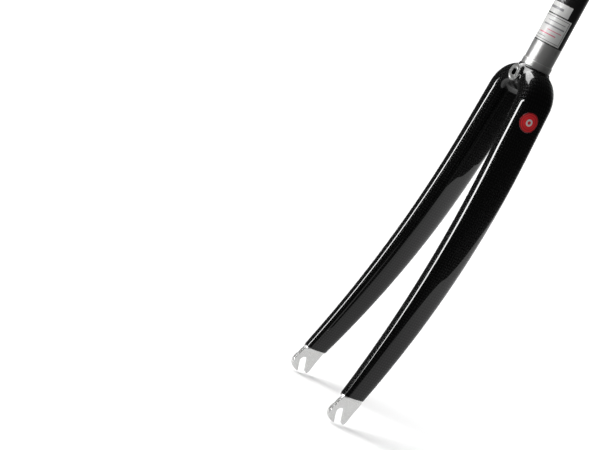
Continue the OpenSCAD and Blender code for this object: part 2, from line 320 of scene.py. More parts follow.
class Nodes:
    """Node tree, with short calls that add nodes and hand back what comes out of them."""

    def __init__(self, tree: bpy.types.NodeTree) -> None:
        """Work on this tree."""
        self.tree = tree

    def feed(self, socket: Socket, value: object) -> None:
        """Link an output to a socket, or set the socket to a plain value."""
        if isinstance(value, Socket):
            self.tree.links.new(value, socket)
        else:
            socket.default_value = value

    def fill(self, node: bpy.types.Node, **values: object) -> bpy.types.Node:
        """Feed sockets of a node, with spaces in their names written as underscores."""
        for name, value in values.items():
            self.feed(node.inputs[name.replace("_", " ")], value)
        return node

    def add(self, kind: str, **values: object) -> bpy.types.Node:
        """Add a shader node and feed its sockets."""
        return self.fill(self.tree.nodes.new("ShaderNode" + kind), **values)

    def math(self, operation: str, *values: object) -> Socket:
        """Output of a Math node."""
        node = self.add("Math")
        node.operation = operation
        for socket, value in zip(node.inputs, values):
            self.feed(socket, value)
        return node.outputs[0]

    def plus(self, a: object, b: object) -> Socket:
        """Sum of two values."""
        return self.math("ADD", a, b)

    def minus(self, a: object, b: object) -> Socket:
        """First value less the second."""
        return self.math("SUBTRACT", a, b)

    def times(self, a: object, b: object) -> Socket:
        """Product of two values."""
        return self.math("MULTIPLY", a, b)

    def size(self, a: Socket) -> Socket:
        """Value without its sign."""
        return self.math("ABSOLUTE", a)

    def reach(self, a: Socket, b: Socket) -> Socket:
        """Length of the vector (a, b)."""
        return self.math("SQRT", self.plus(self.times(a, a), self.times(b, b)))

    def step(self, value: Socket, low: float, high: float) -> Socket:
        """Smooth rise from 0 at low to 1 at high."""
        node = self.add("MapRange", Value=value, From_Min=low, From_Max=high)
        node.interpolation_type = "SMOOTHSTEP"
        return node.outputs["Result"]

    def span(self, value: Socket, low: float, high: float) -> Socket:
        """Straight map of 0 to 1 onto low to high."""
        return self.add("MapRange", Value=value, To_Min=low, To_Max=high).outputs["Result"]

    def blend(self, share: object, low: object, high: object) -> Socket:
        """Colour between low and high by share."""
        node = self.add("Mix")
        node.data_type = "RGBA"
        # the colour sockets share their names with others, so they go by number
        for k, value in ((0, share), (6, low), (7, high)):
            self.feed(node.inputs[k], value)
        return node.outputs[2]

    def noise(self, place: Socket, scale: float, detail: float) -> Socket:
        """Factor of a Noise Texture at a place."""
        return self.add("TexNoise", Vector=place, Scale=scale, Detail=detail).outputs["Fac"]

    def coordinates(self, kind: str = "Object") -> Socket:
        """Texture coordinates of a kind."""
        return self.add("TexCoord").outputs[kind]

    def uv(self) -> Socket:
        """The piece's own UV map."""
        node = self.add("UVMap")
        node.uv_map = UV_NAME
        return node.outputs["UV"]

    def parts(self, place: Socket) -> tuple:
        """The three numbers of a vector."""
        return tuple(self.add("SeparateXYZ", Vector=place).outputs)

    def vector(self, x: object, y: object, z: object) -> Socket:
        """Vector from three numbers."""
        return self.add("CombineXYZ", X=x, Y=y, Z=z).outputs[0]

    def stretched(self, place: Socket, scales: tuple) -> Socket:
        """Place with each of its three numbers multiplied by its own scale."""
        return self.vector(*(self.times(p, s) for p, s in zip(self.parts(place), scales)))


class Recipe(Nodes):
    """Node tree of one material with one Principled shader."""

    def __init__(self, name: str) -> None:
        """Start the material."""
        self.material = bpy.data.materials.new(name)
        self.material.use_nodes = True
        super().__init__(self.material.node_tree)
        self.shader = next(n for n in self.tree.nodes if n.type == "BSDF_PRINCIPLED")

    def set(self, **values: object) -> None:
        """Feed sockets of the shader, with spaces in their names written as underscores."""
        self.fill(self.shader, **values)

    def bump(self, height: Socket, depth: float) -> None:
        """Raise the shader's base normal by a height from 0 to 1, depth metres high."""
        self.set(Normal=self.add("Bump", Strength=1.0, Distance=depth,
                                 Height=height).outputs["Normal"])


@dataclass(frozen=True)
class WovenCarbon:
    """Clear-coated plain weave at 45 degrees to the piece, on its own UV in millimetres."""

    tow: float = 2.0
    dark: float = 0.0015
    light: float = 0.019
    hump: float = 0.00003
    crossing: float = 0.12
    roundness: float = 0.6
    thread_scale: float = 4.0
    thread_shade: tuple = (0.8, 1.1)
    over_shade: tuple = (1.0, 0.1)
    thread_rough: tuple = (0.36, 0.42)
    over_rough: tuple = (0.0, 0.1)
    coat_rough: float = 0.012
    coat_ior: float = 1.5

    def material(self) -> Material:
        """Make the material: crossing tows as humps under a smooth coat."""
        r = Recipe("woven_carbon")
        u, v, _ = r.parts(r.uv())
        turn = 1 / (self.tow * math.sqrt(2))
        along, across = r.times(r.plus(u, v), turn), r.times(r.minus(u, v), turn)
        waves = [r.math("SINE", r.times(way, math.pi)) for way in (along, across)]
        over = r.step(r.times(*waves), -self.crossing, self.crossing)
        humps = [r.math("POWER", r.size(wave), self.roundness) for wave in waves]
        height = r.plus(r.times(over, humps[0]), r.times(r.minus(1.0, over), humps[1]))
        thread = r.noise(r.vector(r.times(along, self.thread_scale), across, over), 1.0, 1.0)
        shade = r.times(r.span(thread, *self.thread_shade), r.span(over, *self.over_shade))
        r.set(
            Base_Color=r.blend(r.times(shade, height), grey(self.dark), grey(self.light)),
            Roughness=r.plus(r.span(thread, *self.thread_rough), r.span(over, *self.over_rough)),
            Metallic=1.0,
            Coat_Weight=1.0,
            Coat_Roughness=self.coat_rough,
            Coat_IOR=self.coat_ior,
        )
        r.bump(height, self.hump)
        return r.material


@dataclass(frozen=True)
class WoundCarbon:
    """Satin tube of fibres wound round it in fine turns."""

    dark: float = 0.0015
    light: float = 0.006
    across: float = 6.0
    turns: float = 900.0
    patches: float = 60.0
    rough: tuple = (0.34, 0.5)
    coat: float = 0.5
    coat_rough: float = 0.18
    hump: float = 0.00003

    def material(self) -> Material:
        """Make the material: fine rings of fibre with a thin coat."""
        r = Recipe("wound_carbon")
        place = r.coordinates()
        fibre = r.noise(r.stretched(place, (self.across, self.across, self.turns)), 1.0, 3.0)
        shade = r.times(fibre, r.noise(place, self.patches, 2.0))
        r.set(Base_Color=r.blend(shade, grey(self.dark), grey(self.light)),
              Roughness=r.span(fibre, *self.rough), Coat_Weight=self.coat,
              Coat_Roughness=self.coat_rough)
        r.bump(fibre, self.hump)
        return r.material


@dataclass(frozen=True)
class Aluminium:
    """Bare aluminium with its working marks: turned rings about an axis, or a satin blast."""

    name: str
    about: About | None
    colour: tuple
    rough: float
    marks: float = 0.000004
    metal: float = 1.0
    # painted shade inside the brake hole: the radius it reaches, its grey and its fade
    painted_shade_r: float = 0.0
    painted_shade_grey: float = 0.02
    fade: float = 0.1
    blast: float = 2600.0
    pitch: float = 2400.0
    stretch: float = 60.0
    clouds: float = 140.0
    grain_share: float = 0.6
    tones: tuple = (0.84, 1.12)
    rough_tones: tuple = (0.85, 1.2)

    def material(self) -> Material:
        """Make the material: fine marks in colour and bump, soft clouds in colour and roughness."""
        r = Recipe(self.name)
        place = r.coordinates()
        if self.about is None:
            grain = r.noise(place, self.blast, 3.0)
        else:
            fine, wide = self.pitch, self.pitch / self.stretch
            scales = (wide, wide, fine) if self.about is About.Z else (fine, wide, wide)
            grain = r.noise(r.stretched(place, scales), 1.0, 2.0)
        cloud = r.noise(place, self.clouds, 3.0)
        share = r.plus(r.times(grain, self.grain_share), r.times(cloud, 1 - self.grain_share))
        colour = r.blend(share, *(rgba(self.colour, tone) for tone in self.tones))
        if self.painted_shade_r:
            # the inside of the brake hole is painted near black up to this radius, a painted shade
            # in the bore
            _, y, z = r.parts(place)
            away = r.reach(y, r.minus(z, BRAKE_Z * MM))
            edge = r.step(away, self.painted_shade_r * MM, (self.painted_shade_r + self.fade) * MM)
            colour = r.blend(edge, grey(self.painted_shade_grey), colour)
        r.set(Base_Color=colour, Metallic=self.metal,
              Roughness=r.span(cloud, *(self.rough * tone for tone in self.rough_tones)))
        r.bump(grain, self.marks)
        return r.material


@dataclass(frozen=True)
class BadgePrint:
    """Printed round badge with plain rings, read from Object coordinates about its centre.

    A ring is the share of the radius at its middle and half its width as a share, and the rim is
    the two shares between which the red gives way.
    """

    centre_x: float
    centre_z: float
    radius: float
    red: tuple = (0.85, 0.024, 0.032)
    deep: tuple = (0.24, 0.008, 0.011)
    pale: tuple = (0.72, 0.71, 0.69)
    rim: tuple = (0.86, 0.91)
    thin_ring: tuple = (0.72, 0.02)
    pale_ring: tuple = (0.27, 0.09)
    fade: float = 0.02
    grains: float = 1500.0
    grain_tone: float = 0.88
    rough: tuple = (0.3, 0.4)
    coat_rough: float = 0.03
    groove: float = 0.00004

    def material(self) -> Material:
        """Make the material: red field, deep rim, a thin deep ring and a pale ring inside."""
        r = Recipe("badge_print")
        x, _, z = r.parts(r.coordinates())
        away = r.reach(r.minus(x, self.centre_x * MM), r.minus(z, self.centre_z * MM))
        share = r.math("DIVIDE", away, self.radius * MM)

        def band(middle: float, half: float) -> Socket:
            """Ring of the badge, 1 within half of the middle share."""
            return r.step(r.size(r.minus(share, middle)), half + self.fade, half - self.fade)

        grain = r.noise(r.coordinates(), self.grains, 2.0)
        red = r.blend(grain, rgba(self.red, self.grain_tone), rgba(self.red))
        rimmed = r.blend(r.step(share, *self.rim), red, rgba(self.deep))
        ringed = r.blend(band(*self.thin_ring), rimmed, rgba(self.deep))
        marked = r.blend(band(*self.pale_ring), ringed, rgba(self.pale))
        r.set(Base_Color=marked, Roughness=r.span(grain, *self.rough), Coat_Weight=1.0,
              Coat_Roughness=self.coat_rough)
        r.bump(r.minus(1.0, band(*self.thin_ring)), self.groove)
        return r.material


@dataclass(frozen=True)
class LabelPrint:
    """White foil label with a thin dark frame line and plain bars, on its UV in millimetres.

    A bar is its lowest and highest U, its lowest and highest V, and its colour.
    """

    name: str
    width: float
    height: float
    frame_line: bool
    bars: tuple
    foil: tuple = ((0.62, 0.62, 0.61), (0.74, 0.74, 0.73))
    ink: float = 0.03
    inset: float = 1.5
    line: float = 0.45
    fade: float = 0.06
    grains: float = 900.0
    rough: tuple = (0.3, 0.42)
    coat: float = 0.3
    coat_rough: float = 0.2
    grain_height: float = 0.00001

    def material(self) -> Material:
        """Make the material: foil, frame line and bars, each bar a box in UV with its colour."""
        r = Recipe(self.name)
        u, v, _ = r.parts(r.uv())
        grain = r.noise(r.coordinates(), self.grains, 3.0)
        colour = r.blend(grain, *(rgba(foil) for foil in self.foil))

        def band(run: Socket, low: float, high: float) -> Socket:
            """1 between low and high, fading to 0 at both."""
            return r.times(r.step(run, low - self.fade, low + self.fade),
                           r.step(run, high + self.fade, high - self.fade))

        def box(x0: float, x1: float, y0: float, y1: float) -> Socket:
            """Box in UV that is 1 inside."""
            return r.times(band(u, x0, x1), band(v, y0, y1))

        if self.frame_line:
            outer, inner = (box(d, self.width - d, d, self.height - d)
                            for d in (self.inset, self.inset + self.line))
            colour = r.blend(r.minus(outer, inner), colour, grey(self.ink))
        for *edges, tone in self.bars:
            colour = r.blend(box(*edges), colour, rgba(tone))
        r.set(Base_Color=colour, Roughness=r.span(grain, *self.rough), Coat_Weight=self.coat,
              Coat_Roughness=self.coat_rough)
        r.bump(grain, self.grain_height)
        return r.material


# ---------------------------------------------------------------- the fork


@dataclass(frozen=True)
class ForkLaw:
    """Curves of the carbon moulding in millimetres, as the CAD frame has them."""

    plate_y: float = 52.5
    axle_drop: float = 372.5
    rake: float = 44.6
    axle_lead: float = 1.0
    bend_start: float = 80.0
    arch_r: float = 26.4
    crown_h: float = 24.0
    crown_depth: float = 31.0
    crown_drop: float = 0.5
    top_share: float = 0.275
    depth_top: float = 36.2
    depth_tip: float = 24.8
    width_top: float = 24.4
    width_tip: float = 14.2
    carbon_end: float = 17.3
    plug_start: float = 1.0
    power: float = 2.7

    @property
    def arch_z(self) -> float:
        """Height of the arch's centre."""
        return -self.crown_drop - self.crown_h * self.top_share - self.arch_r

    @property
    def splay(self) -> float:
        """Angle between a blade and the steerer in front view, tangent from arch to axle."""
        fall = self.axle_drop + self.arch_z
        run = math.hypot(self.plate_y, fall)
        return math.atan2(self.plate_y, fall) - math.asin(self.arch_r / run)

    @property
    def shoulder(self) -> tuple[float, float]:
        """Y and Z of the point where the arch runs into the blade."""
        return (self.arch_r * math.cos(self.splay),
                self.arch_z + self.arch_r * math.sin(self.splay))

    @property
    def tip_z(self) -> float:
        """Height at which the carbon ends."""
        return self.carbon_end - self.axle_drop

    def blade(self, z: Array) -> tuple[Array, ...]:
        """Centre and half sizes of a blade at given heights.

        The centre moves forward by (rake - lead) times the square of the share of the bend, and
        outwards by tan(splay) for each millimetre of fall. Half the depth falls with the square
        of the share down to the tip, and half the width falls evenly.

        Args:
            z: heights below the shoulder.

        Returns:
            X and Y of the centre, half depth and half width.
        """
        shoulder_y, shoulder_z = self.shoulder
        bend = np.maximum(0, (-z - self.bend_start) / (self.axle_drop - self.bend_start))
        tip = np.maximum(0, (-z - self.bend_start) / (-self.tip_z - self.bend_start))
        fall = (shoulder_z - z) / (shoulder_z - self.tip_z)
        return ((self.rake - self.axle_lead) * bend**2,
                shoulder_y + (shoulder_z - z) * math.tan(self.splay),
                mix(self.depth_top, self.depth_tip, tip**2) / 2,
                mix(self.width_top, self.width_tip, fall) / 2)

    def arch(self, share: Array) -> tuple[Array, ...]:
        """Centre, half sizes and tilt of the arch from its middle to the shoulder.

        The tilt falls evenly from 90 degrees to the splay. The height above the arch line grows
        with the sine of the share and the height below it with its smooth step, and the centre
        lies on a circle about the arch's centre, halfway between the two.

        Args:
            share: 0 at the middle and 1 at the shoulder.

        Returns:
            Y and Z of the centre, half depth, half width and tilt.
        """
        w = mix(math.pi / 2, self.splay, share)
        rise = np.sin(share * math.pi / 2)
        up = mix(self.crown_h * self.top_share, self.width_top / 2, rise)
        down = mix(self.crown_h * (1 - self.top_share), self.width_top / 2, smoothstep(share))
        r = self.arch_r + (up - down) / 2
        return (r * np.cos(w), self.arch_z + r * np.sin(w),
                mix(self.crown_depth, self.depth_top, rise) / 2, (up + down) / 2, w)

    def ring_reach(self, w: Array) -> Array:
        """Share of (a cos w, b sin w) at which the section lies: (|cos|^p + |sin|^p)^(-1/p)."""
        p = self.power
        return (np.abs(np.cos(w)) ** p + np.abs(np.sin(w)) ** p) ** (-1 / p)

    def blade_ring(self, z: Array, w: Array, grow: float = 0.0) -> Array:
        """Points of the left blade's section at heights z and angles w, grown by a margin."""
        x, y, a, b = self.blade(z)
        k = self.ring_reach(w)
        u, v = (a + grow) * k * np.cos(w), (b + grow) * k * np.sin(w)
        return np.stack([x + u, y + v * math.cos(self.splay), z + v * math.sin(self.splay)], -1)

    def plug(self, length: float, wall: float) -> Array:
        """Rings of a plug that starts outside the left blade's tip and keeps a wall round it."""
        z = np.linspace(self.tip_z - self.plug_start, self.tip_z + length, 4)[:, None]
        return self.blade_ring(z, angles(48), -wall)


@dataclass
class CarbonMoulding:
    """Crown and both blades in one moulding, with bosses that flow out of the crown.

    A brake seat is its X and its radius, and boss_shares are the shares of that radius inside the
    crown and at the seat.
    """

    law: ForkLaw
    sides: int = 144
    arch_rings: int = 84
    blade_rings: int = 120
    crowding: float = 1.15
    crown_end_z: float = -60.0
    search: float = 1.2
    halvings: int = 26
    seat_r: float = 15.7
    swell: float = 0.8
    swell_depths: tuple = (-2.4, 0, 4.4, 9.3, 13.7, 17.6, 21.1, 23.3)
    swell_shares: tuple = (-0.4, 0, 0.6, 1.0, 0.6, -1.2, -4.0, -7.0)
    front_seat: tuple = (18.2, 9.4)
    rear_seat: tuple = (-16.8, 7.65)
    boss_shares: tuple = (1.09, 0.97)
    boss_start: float = 0.4
    flow: float = 3.2
    edge: float = 0.9
    socket_r: float = 12.2
    socket_span: tuple = (BASE_FOOT_Z, 2.0)
    bore_span: tuple = (-27.0, -15.0)
    pocket_len: float = 22.1
    pocket_wall: float = 2.3

    def boss_field(self, p: Array) -> Array:
        """Signed distance to the bosses, below 0 inside.

        The boss under the race seat is round about Z with a radius that swells and draws in
        below, cut level at the race seat. Each brake boss is round about X, a little wider
        inwards, and cut at its seat. Edges and meetings are rounded with soft_max and soft_min.

        Args:
            p: points, with the three numbers last.

        Returns:
            The distance for each point.
        """
        x, y, z = p[..., 0], p[..., 1], p[..., 2]
        out = np.array(self.swell_shares) * self.swell + self.seat_r
        radius = np.interp(-z, self.swell_depths, out)
        head = soft_max(np.hypot(x, y) - radius, z, self.edge)
        head = np.maximum(head, -z - self.swell_depths[-1])
        about = np.hypot(y, z - BRAKE_Z)
        brakes = []
        for seat_x, seat_r in (self.front_seat, self.rear_seat):
            share = (np.clip(x / seat_x, 0.0, 1.0) - self.boss_start) / (1 - self.boss_start)
            wall = about - seat_r * mix(*self.boss_shares, smoothstep(share))
            ahead = x * np.sign(seat_x)
            cut = soft_max(wall, ahead - abs(seat_x), self.edge)
            brakes.append(np.maximum(cut, -ahead))
        return soft_min(head, soft_min(*brakes, self.flow), self.flow)

    def skin(self) -> tuple[Array, Array]:
        """Work out the grid of the whole skin and the centres of its rings.

        Each ring is a superellipse |u/a|^p + |v/b|^p = 1 on the arch or on a blade. In the crown
        each point moves out along its own ray from the ring's centre until the soft minimum of
        its distance from the ring and of the bosses' field is 0, found by halving. The rings
        crowd towards the shoulder, where the crown ends.

        Returns:
            Points of the grid from the right tip to the left tip, and the centres.
        """
        law = self.law
        arch_y, arch_z, arch_a, arch_b, arch_tilt = law.arch(np.linspace(0, 1, self.arch_rings + 1))
        fall = np.linspace(0, 1, self.blade_rings + 1)[1:] ** self.crowding
        blade_z = mix(law.shoulder[1], law.tip_z, fall)
        blade_x, blade_y, blade_a, blade_b = law.blade(blade_z)
        a, b = np.r_[arch_a, blade_a][:, None], np.r_[arch_b, blade_b][:, None]
        tilt = np.r_[arch_tilt, 0 * blade_z + law.splay][:, None]
        centre = np.stack([np.r_[0 * arch_y, blade_x], np.r_[arch_y, blade_y],
                           np.r_[arch_z, blade_z]], axis=-1)[:, None]
        w = angles(self.sides)
        ray = np.stack([a * np.cos(w), b * np.sin(w) * np.cos(tilt),
                        b * np.sin(w) * np.sin(tilt)], axis=-1)
        ring = law.ring_reach(w) + 0 * a
        scale = np.linalg.norm(ray, axis=-1)
        low, high = ring.copy(), ring + self.search
        for _ in range(self.halvings):
            middle = (low + high) / 2
            point = centre + ray * middle[..., None]
            off = soft_min((middle - ring) * scale, self.boss_field(point), self.flow)
            inside = np.maximum(off, point[..., 2]) < 0
            low, high = np.where(inside, middle, low), np.where(inside, high, middle)
        reach = np.where(centre[..., 2] > self.crown_end_z, low, ring)
        half = centre + ray * reach[..., None]
        # the other half mirrors this one: Y changes sign and the ring keeps its angles
        grid = np.concatenate([half[:0:-1] * MIRROR_Y, half])
        return grid, np.concatenate([centre[:0:-1, 0] * MIRROR_Y, centre[:, 0]])

    def build(self) -> None:
        """Make the moulding, open its bores and pockets and dress it.

        The columns start at the back, so that the seam of the weave lies there. U is 0 along the
        front edge, and V is 0 in the middle of the crown.
        """
        grid, spine = self.skin()
        grid = np.roll(grid, self.sides // 2, axis=1)
        uv = run_uv(grid, spine)
        uv[..., 0] -= uv[:, self.sides // 2, 0][:, None].copy()
        uv[..., 1] -= uv[len(uv) // 2, 0, 1]
        piece = solid("carbon_moulding", grid, uv=uv)
        pocket = self.law.plug(self.pocket_len, self.pocket_wall)
        cutters = [
            pin(self.socket_r, self.socket_span, About.Z),
            pin(BASE_BORE_R, self.bore_span, About.Z),
            pin(BUSH_WAY_R, BUSH_WAY_SPAN, About.X),
            solid("pocket", pocket),
            solid("pocket", pocket * MIRROR_Y),
        ]
        join_solids(piece, cutters, "DIFFERENCE")
        dress(piece, WovenCarbon().material(), ["fork_body"], crease=50)


@dataclass
class CrownBase:
    """Turned aluminium base: bonded foot, race seat, bare sleeve and spigot."""

    sides: int = 160
    foot_r: float = 12.1
    seat_r: float = 15.0
    seat_h: float = 6.5
    chamfer: float = 0.4
    relief: float = 0.15
    relief_h: float = 0.5
    spigot_r: float = 12.3
    spigot_z: float = 57.4
    corner_r: tuple = (0.4, 0.6, 0.05, 0.1, 0.1, 0.1, 0.1, 0.08, 0.08, 0.08, 0.18, 0.05, 0.6, 0.5)

    def build(self) -> None:
        """Turn the base, bore it for the brake bushes and dress it."""
        c, seat_h, groove_r = self.chamfer, self.seat_h, STEERER_R - self.relief
        grid = turned([
            [BASE_BORE_R, BASE_FOOT_Z], [self.foot_r, BASE_FOOT_Z], [self.foot_r, 0.0],
            [self.seat_r - c, 0.0], [self.seat_r, c], [self.seat_r, seat_h - c],
            [self.seat_r - c, seat_h], [groove_r, seat_h], [groove_r, seat_h + self.relief_h],
            [STEERER_R, seat_h + self.relief_h + self.relief], [STEERER_R, SLEEVE_TOP_Z],
            [self.spigot_r, SLEEVE_TOP_Z], [self.spigot_r, self.spigot_z],
            [BASE_BORE_R, self.spigot_z]], self.corner_r, self.sides, About.Z)
        piece = solid("crown_sleeve", grid, ring=True)
        join_solids(piece, [pin(BUSH_WAY_R, BUSH_WAY_SPAN, About.X)], "DIFFERENCE")
        finish = Aluminium("turned_base", About.Z, (0.5, 0.5, 0.495), 0.38, metal=0.82)
        dress(piece, finish.material(), ["crown_base"], crease=35)


@dataclass
class SteererTube:
    """Carbon steerer tube over the spigot of the base."""

    sides: int = 160
    bore_r: float = 11.7
    socket_r: float = 12.4
    socket_z: float = 57.5
    top_z: float = 300.0
    corner_r: tuple = (0.05, 0.2, 0.6, 0.6, 0.1, 0.1)

    def build(self) -> None:
        """Turn the tube and dress it."""
        grid = turned([
            [self.socket_r, SLEEVE_TOP_Z], [STEERER_R, SLEEVE_TOP_Z], [STEERER_R, self.top_z],
            [self.bore_r, self.top_z], [self.bore_r, self.socket_z],
            [self.socket_r, self.socket_z]], self.corner_r, self.sides, About.Z)
        piece = solid("steerer", grid, ring=True)
        dress(piece, WoundCarbon().material(), ["steerer_tube"], crease=35)


@dataclass
class BrakeBush:
    """Flanged bush for the brake bolt or its nut, with a lipped and dished flange."""

    name: str
    node: str
    face_x: float
    flange_r: float
    hole_r: float
    turn: int = 1
    sides: int = 128
    sleeve_r: float = 5.0
    flange_t: float = 1.2
    rim: float = 0.1
    lip_w: float = 1.3
    dish_d: float = 0.4
    land_w: float = 1.6
    land_d: float = 0.05
    # how far past the hole the painted shade in the bore reaches
    painted_shade_rim: float = 0.15
    corner_r: tuple = (0.2, 0.2, 0.05, 0.15, 0.3, 0.12, 0.12, 0.12, 0.12, 0.3)

    def build(self) -> None:
        """Turn the bush about X, set it in place and dress it."""
        face, reach, hole, d = self.face_x, self.flange_r, self.hole_r, self.dish_d
        land = hole + self.land_w
        grid = turned([
            [hole, BASE_BORE_R], [self.sleeve_r, BASE_BORE_R],
            [self.sleeve_r, face - self.flange_t], [reach, face - self.flange_t],
            [reach, face - self.rim], [reach - self.lip_w, face],
            [reach - self.lip_w - d, face - d], [land + d, face - d],
            [land, face - self.land_d], [hole, face - self.land_d]],
            self.corner_r, self.sides, About.X) * np.array([self.turn, self.turn, 1])
        piece = solid(self.name, grid + np.array([0, 0, BRAKE_Z]), ring=True)
        # the bolt hole's bore is painted dark as shade
        finish = Aluminium(f"{self.name}_metal", About.X, (0.32, 0.32, 0.315), 0.46,
                           painted_shade_r=hole + self.painted_shade_rim)
        dress(piece, finish.material(), [self.node], crease=35)


@dataclass
class Dropout:
    """Forged dropout: tang, rim and cove under the carbon, and a slotted plate."""

    law: ForkLaw
    side: Side
    node: str
    plate_t: float = 5.0
    slot_w: float = 9.0
    slot_margin: float = 0.05
    lobe_r: float = 12.3
    rim_h: float = 1.2
    cove_h: float = 4.6
    edge: float = 0.6
    head_angle: float = 73.0
    tang_len: float = 22.0
    tang_wall: float = 2.4
    curve_steps: int = 12
    outline_points: int = 420
    ease_reach: int = 12
    ease_width: float = 4.0
    cove_rings: int = 24
    cove_sides: int = 120
    edge_steps: int = 6
    slot_steps: int = 49
    mouth_points: int = 8

    front_shares = ((0.57, 0.88), (0.68, 0.55), (0.87, 0.15), (0.93, -0.2), (0.82, -0.56),
                    (0.52, -0.86), (0.14, -1.03), (-0.1, -1.1))
    rear_shares = ((-0.45, -1.08), (-0.66, -1.06), (-0.88, -0.92), (-1.0, -0.62),
                   (-1.07, -0.2), (-1.18, 0.3), (-1.32, 0.8))

    def outline(self) -> Array:
        """Outline of the plate in side view about the axle: forward, then up.

        The front and rear edges are smooth curves through shares of the lobe's reach. The slot
        is a half circle about the axle whose straight sides run down the slot's direction until
        they leave the plate, and the prongs' corners are rounded.

        Returns:
            Points of the closed outline.
        """
        law, wall = self.law, self.slot_w / 2
        root_z = law.carbon_end - self.rim_h
        root_x = float(law.blade(np.array([law.tip_z]))[0][0]) - law.rake
        half = law.depth_tip / 2 - self.rim_h
        front, rear = (np.array(s) * self.lobe_r for s in (self.front_shares, self.rear_shares))
        front_root, rear_root = np.array([root_x + half, root_z]), np.array([root_x - half, root_z])
        lift = np.array([0.0, root_z])
        first = smooth_curve(np.vstack([front_root + lift, front_root, front, rear[:1]]),
                             self.curve_steps)
        second = smooth_curve(np.vstack([front[-1:], rear, rear_root, rear_root + lift]),
                              self.curve_steps)
        # down and across are the slot's own directions
        angle = math.radians(90 - self.head_angle)
        down = np.array([-math.sin(angle), -math.cos(angle)])
        across = np.array([math.cos(angle), -math.sin(angle)])
        clear = wall + self.slot_margin
        first = first[(first @ across > clear) | (first @ down < 0)]
        second = second[(second @ across < -clear) | (second @ down < 0)]
        front_mouth = across * wall + down * (first @ down).max()
        rear_mouth = -across * wall + down * (second[: self.mouth_points] @ down).max()
        sweep = np.linspace(0, math.pi, self.slot_steps)[:, None]
        arc = across * wall * np.cos(sweep) - down * wall * np.sin(sweep)
        return self.eased(np.vstack([first, front_mouth, arc, rear_mouth, second, rear_root]))

    def eased(self, loop: Array) -> Array:
        """Even out the outline's spacing and round its corners by averaging along its run."""
        closed = np.vstack([loop, loop[:1]])
        run = run_lengths(closed, 0)
        at = np.linspace(0, run[-1], self.outline_points, endpoint=False)
        even = np.stack([np.interp(at, run, closed[:, k]) for k in range(2)], axis=1)
        reach = np.arange(-self.ease_reach, self.ease_reach + 1)
        near = np.exp(-0.5 * (reach / self.ease_width) ** 2)
        near /= near.sum()
        return sum(g * np.roll(even, k, axis=0) for g, k in zip(near, reach))

    def plate(self) -> Piece:
        """Plate between two flat faces with a rounded edge.

        Each ring of the edge is the outline moved in by e(1 - cos t) and out of the middle plane
        by T/2 - e + e sin t, for t from -90 to 90 degrees, with e the edge's radius.
        """
        law, loop = self.law, self.outline()
        after = np.roll(loop, -1, axis=0)
        along = after - np.roll(loop, 1, axis=0)
        along /= np.linalg.norm(along, axis=1)[:, None]
        area = float(np.sum(loop[:, 0] * after[:, 1] - loop[:, 1] * after[:, 0]))
        inward = np.stack([-along[:, 1], along[:, 0]], axis=1) * math.copysign(1.0, area)
        t = np.linspace(0, math.pi / 2, self.edge_steps)
        drop, rise = self.edge * (1 - np.cos(t)), self.plate_t / 2 - self.edge * (1 - np.sin(t))
        drops, rises = np.r_[drop[::-1], drop], np.r_[-rise[::-1], rise]
        flat = loop[None] + inward[None] * drops[:, None, None]
        grid = np.stack([flat[..., 0] + law.rake, law.plate_y + rises[:, None] + 0 * flat[..., 0],
                         flat[..., 1] - law.axle_drop], axis=-1)
        return solid("plate", grid)

    def socket_end(self) -> Piece:
        """Rim and cove: rings that draw in from the carbon's section to the plate.

        Down the cove, with u from 0 to 1, the half width falls from the blade's to the plate's
        by f = 1 - sqrt(1 - (1 - u)^2), the centre moves to the plate's plane and the half depth
        loses twice the rim's height.
        """
        law, w = self.law, angles(self.cove_sides)
        k = law.ring_reach(w)
        top = law.blade_ring(np.array([[law.tip_z], [law.tip_z - self.rim_h]]), w)
        u = (np.arange(1, self.cove_rings + 1) / self.cove_rings)[:, None]
        z = law.tip_z - self.rim_h - self.cove_h * u
        fall = 1 - np.sqrt(1 - (1 - u) ** 2)
        x, y, _, _ = law.blade(z)
        a = law.depth_tip / 2 - self.rim_h * u * 2
        b = mix(self.plate_t / 2, law.width_tip / 2, fall)
        tilt, v = law.splay * fall, b * k * np.sin(w)
        cove = np.stack([x + a * k * np.cos(w), mix(law.plate_y, y, fall) + v * np.cos(tilt),
                         z + v * np.sin(tilt)], axis=-1)
        return solid("socket_end", np.concatenate([top, cove]))

    def build(self) -> None:
        """Unite plate, cove and bonded tang, put the piece on its side and dress it."""
        tang = solid("tang", self.law.plug(self.tang_len, self.tang_wall))
        piece = join_solids(self.socket_end(), [tang, self.plate()], "UNION")
        piece.name = f"{self.side.name.lower()}_tip"
        if self.side is Side.RIGHT:
            piece.data.transform(Matrix.Scale(-1, 4, (0, 1, 0)))
            piece.data.flip_normals()
        finish = Aluminium(f"{piece.name}_metal", None, (0.95, 0.945, 0.925), 0.24,
                           marks=0.000002, metal=0.84)
        dress(piece, finish.material(), [self.node], crease=32)


